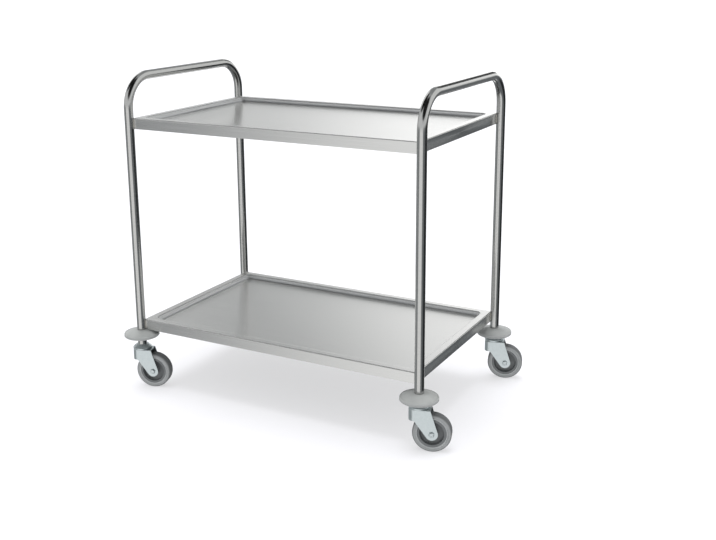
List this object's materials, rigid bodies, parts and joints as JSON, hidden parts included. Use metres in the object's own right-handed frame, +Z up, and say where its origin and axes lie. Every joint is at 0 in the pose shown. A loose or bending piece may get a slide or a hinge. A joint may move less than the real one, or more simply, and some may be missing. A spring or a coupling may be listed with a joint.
{
  "type": "serving trolley",
  "caption": "Two-tier stainless serving trolley: pressed shelves between bent-tube end frames with handles, on swivel castors with round bumper discs.",
  "frame": {"origin": "on the floor, midway between the four tubes", "axes": "+Z up, +X along the length of the shelves, from the left handle to the right handle"},
  "size_m": [1.0456, 0.63, 0.908],
  "materials": {
    "polished_tube": "polished stainless tube",
    "brushed_sheet": "satin brushed stainless sheet",
    "weld_metal": "ground weld bead",
    "zinc_plate": "bright zinc-plated pressed steel",
    "ball_steel": "polished bearing steel",
    "bumper_plastic": "grey moulded soft plastic",
    "hub_plastic": "grey moulded plastic",
    "grey_rubber": "non-marking grey rubber"
  },
  "bodies": {
    "frame": {"left_end_frame": "polished_tube", "right_end_frame": "polished_tube", "upper_shelf": "brushed_sheet", "lower_shelf": "brushed_sheet", "upper_shelf_channel": "brushed_sheet", "lower_shelf_channel": "brushed_sheet", "upper_shelf_welds": "weld_metal", "lower_shelf_welds": "weld_metal", "castor_insert_left_front": "zinc_plate", "stem_bolt_left_front": "zinc_plate", "swivel_cap_left_front": "zinc_plate", "swivel_balls_left_front": "ball_steel", "castor_insert_left_back": "zinc_plate", "stem_bolt_left_back": "zinc_plate", "swivel_cap_left_back": "zinc_plate", "swivel_balls_left_back": "ball_steel", "castor_insert_right_front": "zinc_plate", "stem_bolt_right_front": "zinc_plate", "swivel_cap_right_front": "zinc_plate", "swivel_balls_right_front": "ball_steel", "castor_insert_right_back": "zinc_plate", "stem_bolt_right_back": "zinc_plate", "swivel_cap_right_back": "zinc_plate", "swivel_balls_right_back": "ball_steel"},
    "castor_left_front": {"fork_left_front": "zinc_plate", "axle_bolt_left_front": "zinc_plate", "axle_nut_left_front": "zinc_plate", "axle_sleeve_left_front": "zinc_plate"},
    "wheel_left_front": {"wheel_centre_left_front": "hub_plastic", "tyre_left_front": "grey_rubber"},
    "bumper_left_front": {"bumper_disc_left_front": "bumper_plastic"},
    "castor_left_back": {"fork_left_back": "zinc_plate", "axle_bolt_left_back": "zinc_plate", "axle_nut_left_back": "zinc_plate", "axle_sleeve_left_back": "zinc_plate"},
    "wheel_left_back": {"wheel_centre_left_back": "hub_plastic", "tyre_left_back": "grey_rubber"},
    "bumper_left_back": {"bumper_disc_left_back": "bumper_plastic"},
    "castor_right_front": {"fork_right_front": "zinc_plate", "axle_bolt_right_front": "zinc_plate", "axle_nut_right_front": "zinc_plate", "axle_sleeve_right_front": "zinc_plate"},
    "wheel_right_front": {"wheel_centre_right_front": "hub_plastic", "tyre_right_front": "grey_rubber"},
    "bumper_right_front": {"bumper_disc_right_front": "bumper_plastic"},
    "castor_right_back": {"fork_right_back": "zinc_plate", "axle_bolt_right_back": "zinc_plate", "axle_nut_right_back": "zinc_plate", "axle_sleeve_right_back": "zinc_plate"},
    "wheel_right_back": {"wheel_centre_right_back": "hub_plastic", "tyre_right_back": "grey_rubber"},
    "bumper_right_back": {"bumper_disc_right_back": "bumper_plastic"}
  },
  "joints": [
    {"name": "swivel_left_front", "type": "hinge", "parent": "frame", "child": "castor_left_front", "pos_m": [-0.44, -0.265, 0.115], "axis": [0, 0, 1], "continuous": true},
    {"name": "roll_left_front", "type": "hinge", "parent": "castor_left_front", "child": "wheel_left_front", "pos_m": [-0.40766, -0.25449, 0.05], "axis": [-0.309, 0.9511, 0], "continuous": true},
    {"name": "bumper_slide_left_front", "type": "slide", "parent": "frame", "child": "bumper_left_front", "axis": [0, 0, 1], "range_m": [-0.0194, 0]},
    {"name": "swivel_left_back", "type": "hinge", "parent": "frame", "child": "castor_left_back", "pos_m": [-0.44, 0.265, 0.115], "axis": [0, 0, 1], "continuous": true},
    {"name": "roll_left_back", "type": "hinge", "parent": "castor_left_back", "child": "wheel_left_back", "pos_m": [-0.47234, 0.25449, 0.05], "axis": [0.309, -0.9511, 0], "continuous": true},
    {"name": "bumper_slide_left_back", "type": "slide", "parent": "frame", "child": "bumper_left_back", "axis": [0, 0, 1], "range_m": [0, 0.0194]},
    {"name": "swivel_right_front", "type": "hinge", "parent": "frame", "child": "castor_right_front", "pos_m": [0.44, -0.265, 0.115], "axis": [0, 0, 1], "continuous": true},
    {"name": "roll_right_front", "type": "hinge", "parent": "castor_right_front", "child": "wheel_right_front", "pos_m": [0.47234, -0.25449, 0.05], "axis": [-0.309, 0.9511, 0], "continuous": true},
    {"name": "bumper_slide_right_front", "type": "slide", "parent": "frame", "child": "bumper_right_front", "axis": [0, 0, 1], "range_m": [0, 0.0194]},
    {"name": "swivel_right_back", "type": "hinge", "parent": "frame", "child": "castor_right_back", "pos_m": [0.44, 0.265, 0.115], "axis": [0, 0, 1], "continuous": true},
    {"name": "roll_right_back", "type": "hinge", "parent": "castor_right_back", "child": "wheel_right_back", "pos_m": [0.47234, 0.27551, 0.05], "axis": [-0.309, 0.9511, 0], "continuous": true},
    {"name": "bumper_slide_right_back", "type": "slide", "parent": "frame", "child": "bumper_right_back", "axis": [0, 0, 1], "range_m": [0, 0.0194]}
  ]
}
